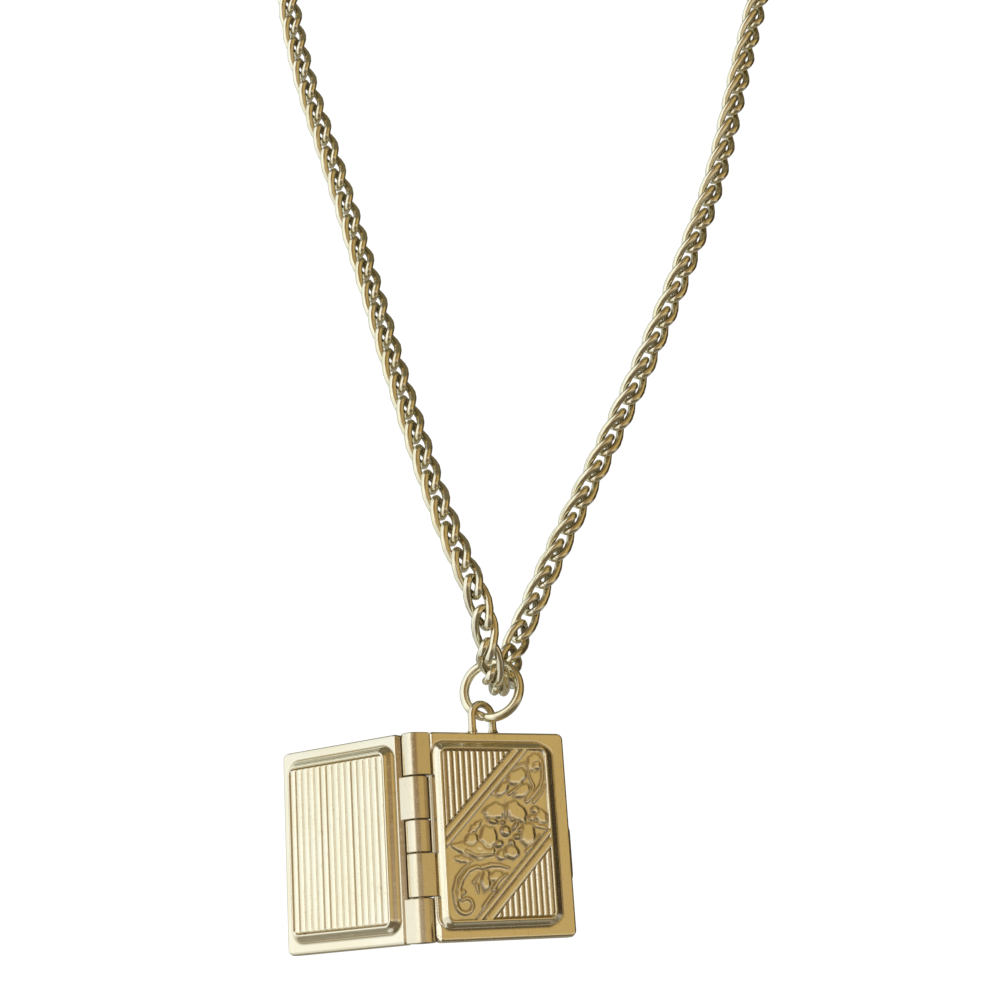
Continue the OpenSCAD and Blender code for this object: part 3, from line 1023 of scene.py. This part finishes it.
@dataclass
class Locket:
    """The two covers with hinge, bail and catch lip.

    Solder makes the bail's feet thicker by its first number, and the second
    is how far it reaches up.
    """

    hang: Hanging
    gold: bpy.types.Material
    knuckle_h: tuple[float, ...] = (4.45, 4.4, 3.3, 4.4, 4.45)
    knuckle_owner: tuple[Side, ...] = (Side.FRONT, Side.BACK, Side.FRONT, Side.FRONT, Side.BACK)
    knuckle_r: float = 1.28
    knuckle_gap: float = 0.12
    soft_edge: float = 0.07
    pin_hole_r: float = 0.5
    leaf_t: float = 0.42
    leaf_step: float = 0.1
    round_knuckle: int = 2
    bail_foot: float = 0.3
    bail_foot_r: float = 0.38
    solder: Pair = (0.17, 0.28)
    solder_r: float = 0.58
    lip_length: float = 5.6
    lip_y: float = -2.0
    lip_r: float = 0.45
    lip_reach: float = 0.25

    def add(self, name: str, owner: Side, points: Array, faces: Faces,
            shade_and_tarnish: Array | None = None, sharp: float = 40.0) -> None:
        """Builds one piece, mirrored when it is the back cover's.

        Args:
            name: the piece's name.
            owner: the cover that it belongs to.
            points: its vertices in the book's frame.
            faces: its faces.
            shade_and_tarnish: painted shade and tarnish of each vertex.
            sharp: angle in degrees from which an edge stays sharp.
        """
        if owner is Side.BACK:
            points, faces = points*np.array([-1, 1, 1]), [f[::-1] for f in faces]
        Piece(name, owner.value, "cover_metal", self.hang.place(points, owner), faces, shade_and_tarnish,
              sharp).build(self.gold, [f"{owner.value}_cover"])

    def cover(self, cover: Cover) -> None:
        """Builds a cover's shell."""
        verts, faces, shade_and_tarnish = cover.shell()
        self.add(f"{cover.side.value}_shell", cover.side, self.hang.stand(verts), faces, shade_and_tarnish, sharp=55)

    def knuckle_profile(self, low_leaf: bool) -> Array:
        """Outline of a knuckle and its leaf across the pin.

        Args:
            low_leaf: whether the leaf lies low, which shows the barrel rounder.

        Returns:
            Points of the outline, with the leaf towards +x and the face towards -y.
        """
        b = self.hang.book
        r, far = self.knuckle_r, b.edge_x + (b.wall - 0.05 if low_leaf else 0.08)
        front = -self.leaf_t - self.leaf_step if low_leaf else -r + 0.02
        back = front + self.leaf_t
        begin = math.asin(front/r) if low_leaf else -math.pi/2
        arc = np.linspace(begin, math.asin(back/r) - 2*math.pi, 40)
        return np.vstack([[far, front], np.stack([r*np.cos(arc), r*np.sin(arc)], -1), [far, back]])

    def knuckles(self, owner: Side) -> None:
        """Builds one cover's knuckles as a piece.

        Args:
            owner: the cover.
        """
        parts, knuckle_shade = [], []
        top = self.hang.book.height/2
        for i, (h, who) in enumerate(zip(self.knuckle_h, self.knuckle_owner)):
            low, top = top - h, top - h
            if who is not owner:
                continue
            z0, z1 = low + self.knuckle_gap/2, low + h - self.knuckle_gap/2
            outline = self.knuckle_profile(i == self.round_knuckle)
            angles = np.linspace(0, 2*math.pi, len(outline), endpoint=False) - math.pi/3
            hole = self.pin_hole_r*np.stack([np.cos(-angles), np.sin(-angles)], -1)
            soft = outline + unit(outline.mean(0)*0.4 - outline)*self.soft_edge
            # Loops from the hole over the foot, the wall and the top back to the hole: points, height,
            # painted shade
            loops = ((hole, z0, 1.0), (soft, z0, 1.0), (outline, z0 + self.soft_edge, 0.25),
                     (outline, z1 - self.soft_edge, 0.25), (soft, z1, 1.0), (hole, z1, 1.0))
            verts = np.vstack([np.column_stack([p, np.full(len(p), z)]) for p, z, _ in loops])
            # Painted shade at full strength on the ends and in the pin hole, lighter on the wall
            dark = np.repeat([shade for _, _, shade in loops], len(outline))
            # Painted shade on the leaf, growing away from the barrel towards the cover
            leaf = np.clip((outline[:, 0] - self.knuckle_r*0.9)/0.5, 0, 1)*0.8
            knuckle_shade.append(np.maximum(dark, np.tile(leaf, len(loops))))
            parts.append((verts, ring_faces(len(loops), len(outline), True)))
        verts, faces = joined(parts)
        self.add(f"{owner.value}_knuckles", owner, verts, faces, np.concatenate(knuckle_shade), sharp=35)

    def bail(self) -> None:
        """Builds the bail on the front cover's top wall, its feet thicker with solder."""
        h, book_top = self.hang, self.hang.book.height/2
        arc_z, foot = book_top + h.bail_leg, book_top - self.bail_foot
        legs = foot + (arc_z - foot)*np.array([0, 0.16, 0.18, 0.24, 0.32, 0.45, 0.7])
        a = np.linspace(0, math.pi, 25)
        leg_x = np.full(len(legs), h.bail_r)
        x = np.concatenate([leg_x, h.bail_r*np.cos(a), -leg_x])
        z = np.concatenate([legs, arc_z + h.bail_r*np.sin(a), legs[::-1]])
        above = z - book_top
        radius = h.bail_wire_r*(0.96 + 0.05*np.cos(np.linspace(0, 9, len(z))))
        radius = radius + self.solder[0]*np.exp(-(above/self.solder[1])**2)
        radius = np.minimum(np.where(above > 0.04, radius, self.bail_foot_r), self.solder_r)
        verts, faces = swept_wire(np.stack([x, np.zeros(len(x)), z], -1), radius)
        verts = verts @ turn((0, 0, 1), h.bail_turn).T + np.array([h.bail_x, -h.bail_z, 0])
        self.add("bail", Side.FRONT, verts, [f[::-1] for f in faces], np.full(len(verts), 0.18))

    def catch_lip(self) -> None:
        """Builds the catch lip on the front cover's fore-edge."""
        b, t = self.hang.book, np.linspace(-1, 1, 25)
        x = b.edge_x + b.cover_w + self.lip_reach - self.lip_r
        path = np.stack([np.full(len(t), x), self.lip_y + t*self.lip_length/2,
                         np.full(len(t), self.hang.bail_z)], -1)
        radius = self.lip_r*np.clip(1 - np.abs(t)**14, 0.05, 1)**0.5
        verts, faces = swept_wire(path, radius, up=(0, 0, 1))
        self.add("catch_lip", Side.FRONT, self.hang.stand(verts), faces)


@dataclass
class JumpRing:
    """The ring between chain and bail, with its cut."""

    hang: Hanging
    gold: bpy.types.Material
    slit: float = 0.1
    slit_angle: float = -101.0
    points: int = 97

    def build(self) -> None:
        """Builds the ring, its ends almost meeting."""
        h = self.hang
        half = math.degrees(self.slit/2/h.ring_r)
        a = np.radians(np.linspace(self.slit_angle + half, self.slit_angle + 360 - half, self.points))
        up = np.array([0, 0, 1.0])
        path = h.ring_r*(np.cos(a)[:, None]*h.ring_along + np.sin(a)[:, None]*up) - up*h.ring_r
        from_end = np.minimum(np.arange(self.points), np.arange(self.points)[::-1])
        radius = h.ring_wire_r*(1 - 0.16*np.exp(-from_end/1.2))
        verts, faces = swept_wire(h.from_ring(path), radius, 24, up=np.cross(h.ring_along, up))
        Piece("jump_ring_wire", "ring", "chain_metal", verts, faces).build(self.gold, ["jump_ring"])


@dataclass
class Necklace:
    """The chain's two strands and the clasp."""

    hang: Hanging
    gold: bpy.types.Material

    def strands(self) -> None:
        """Builds both strands."""
        for sign, first, side in ((-1, 0, Side.LEFT), (1, 1, Side.RIGHT)):
            verts, faces, shade_and_tarnish = self.hang.chain.strand(sign, first)
            Piece(f"{side.value}_links", "necklace", "chain_metal", self.hang.from_ring(verts), faces,
                  shade_and_tarnish, sharp=60).build(self.gold, [f"chain_{side.value}"])

    def keep(self, node: str) -> None:
        """Dresses a CAD node that stays.

        Args:
            node: its name.
        """
        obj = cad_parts[node]
        obj.data.materials.clear()
        obj.data.materials.append(self.gold)
        LOG.info("%s keeps its CAD shape", node)


# Studio


@dataclass(frozen=True)
class Studio:
    """Camera, floor and the room's light.

    The walls' table gives degrees round the room, 0 in front of the locket and
    positive to the right, and the light's colour there.
    """

    focal_px: float = 1727.2
    picture_px: float = 1000.0
    sensor: float = 36.0
    azimuth: float = -0.85
    elevation: float = 23.86
    roll: float = -3.29
    eye: tuple[float, float, float] = (2.30, -173.97, -222.69)
    walls: tuple[tuple[float, Color], ...] = (
        (-180, (0.20, 0.20, 0.16)), (-132, (0.23, 0.24, 0.20)), (-118, (0.64, 0.69, 0.72)),
        (-74, (0.66, 0.70, 0.74)), (-30, (0.86, 0.88, 0.88)), (-18, (0.20, 0.13, 0.055)),
        (18, (0.20, 0.13, 0.055)), (30, (0.37, 0.275, 0.12)), (74, (0.39, 0.29, 0.125)),
        (86, (0.04, 0.03, 0.018)), (130, (0.04, 0.03, 0.018)), (142, (0.15, 0.12, 0.07)),
        (165, (0.05, 0.04, 0.025)), (180, (0.20, 0.20, 0.16)))
    strength: float = 1.5
    ceiling_from: Pair = (0.66, 0.85)
    pale_from: Pair = (-0.06, 0.12)
    pale_share: float = 0.22
    under_from: Pair = (0.15, 0.5)
    ceiling: Color = (0.11, 0.095, 0.055)
    under: Color = (0.07, 0.055, 0.03)
    backdrop: Color = (0.7, 0.7, 0.7)
    floor_half: float = 1.2
    floor_y: Pair = (0.25, 2.65)
    floor_z: float = -0.9

    def camera(self) -> None:
        """Creates the camera at the photograph's place."""
        data = bpy.data.cameras.new("camera")
        data.sensor_width = self.sensor
        data.lens = self.focal_px*self.sensor/self.picture_px
        data.clip_start = 0.005
        az, el, roll = (math.radians(v) for v in (self.azimuth, self.elevation, self.roll))
        d = np.array([math.sin(az)*math.cos(el), math.cos(az)*math.cos(el), math.sin(el)])
        up = unit(np.array([0, 0, 1.0]) - d*d[2])
        up = math.cos(roll)*up + math.sin(roll)*np.cross(d, up)
        placed = np.column_stack([np.cross(d, up), up, -d, np.array(self.eye)*MM])
        cam = in_scene("camera", data)
        cam.matrix_world = Matrix([*placed.tolist(), (0, 0, 0, 1)])
        bpy.context.scene.camera = cam

    def floor(self) -> None:
        """A plain pale floor well below the locket."""
        mesh = bpy.data.meshes.new("floor")
        s, (near, far), z = self.floor_half, self.floor_y, self.floor_z
        mesh.from_pydata([(-s, near, z), (s, near, z), (s, far, z), (-s, far, z)], [], [(0, 1, 2, 3)])
        mat = bpy.data.materials.new("floor_paint")
        t = NodeTree(mat)
        where = t.add("ShaderNodeTexCoord", out="Object")
        tone = t.blend(t.noise(where, 3.0), (0.86, 0.86, 0.85), (0.9, 0.9, 0.89))
        shader = t.add("ShaderNodeBsdfPrincipled", {}, {"Base Color": tone, "Roughness": 0.7})
        t.add("ShaderNodeOutputMaterial", {}, {"Surface": shader})
        mesh.materials.append(mat)
        in_scene("floor", mesh)

    def world(self) -> None:
        """The room round the locket, white where the camera sees it.

        A wide white window is on the left and tan on the right. The rest is dim,
        and a little paler just below the horizon, as from the floor.
        """
        world = bpy.data.worlds.new("studio_room")
        t = NodeTree(world)
        where = t.add("ShaderNodeTexCoord", out="Generated")
        x, y, z = (t.add("ShaderNodeSeparateXYZ", {}, {0: where}, out=i) for i in range(3))
        round_room = t.add("ShaderNodeMath", {"operation": "ARCTAN2"}, {0: x, 1: 0 - y})*(0.5/math.pi) + 0.5
        stops = [((degrees + 180)/360, color) for degrees, color in self.walls]
        wall = t.add("ShaderNodeValToRGB", {"stops": stops}, {0: round_room})
        wall = t.blend(z.between(*self.ceiling_from), wall, self.ceiling)
        down = 0 - z
        wall = t.blend(down.between(*self.pale_from)*self.pale_share, wall, (1.0, 1.0, 1.0))
        wall = t.blend(down.between(*self.under_from)*(x.between(-0.4, 0.2)*0.6 + 0.3), wall, self.under)
        seen = t.add("ShaderNodeLightPath", out="Is Camera Ray")
        color = t.blend(seen, wall, self.backdrop)
        shader = t.add("ShaderNodeBackground", {}, {"Color": color, "Strength": self.strength})
        t.add("ShaderNodeOutputWorld", {}, {"Surface": shader})
        bpy.context.scene.world = world


def main() -> None:
    """Builds the locket in order."""
    logging.basicConfig(level=logging.INFO, format="%(name)s: %(message)s")
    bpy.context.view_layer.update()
    cover_gold = GoldFinish("cover_gold").material()
    # The chain's painted shade between links is darker and stronger than on the covers
    chain_gold = GoldFinish("chain_gold", color=(0.86, 0.81, 0.63), warm=(0.82, 0.75, 0.52),
                            hollow=(0.24, 0.2, 0.08), hollow_shade_share=0.8).material()
    book, chain = Book(), CurbChain()
    hang = Hanging(chain, book)
    studio = Studio()
    studio.camera()
    locket = Locket(hang, cover_gold)
    locket.cover(Cover(book, Side.FRONT, ribs=18, band=FlowerBand()))
    back_book = replace(book, border_spine=0.6, border_fore=0.8, spine_run=0.7, fore_run=0.7)
    locket.cover(Cover(back_book, Side.BACK, ribs=15, rib_rise=0.15, rib_power=2.0))
    locket.knuckles(Side.FRONT)
    locket.knuckles(Side.BACK)
    locket.bail()
    locket.catch_lip()
    JumpRing(hang, chain_gold).build()
    necklace = Necklace(hang, chain_gold)
    necklace.strands()
    for node in ("clasp", "hinge_pin"):
        necklace.keep(node)
    studio.floor()
    studio.world()
    bpy.context.scene.view_settings.view_transform = "Standard"


if __name__ == "__main__":
    main()
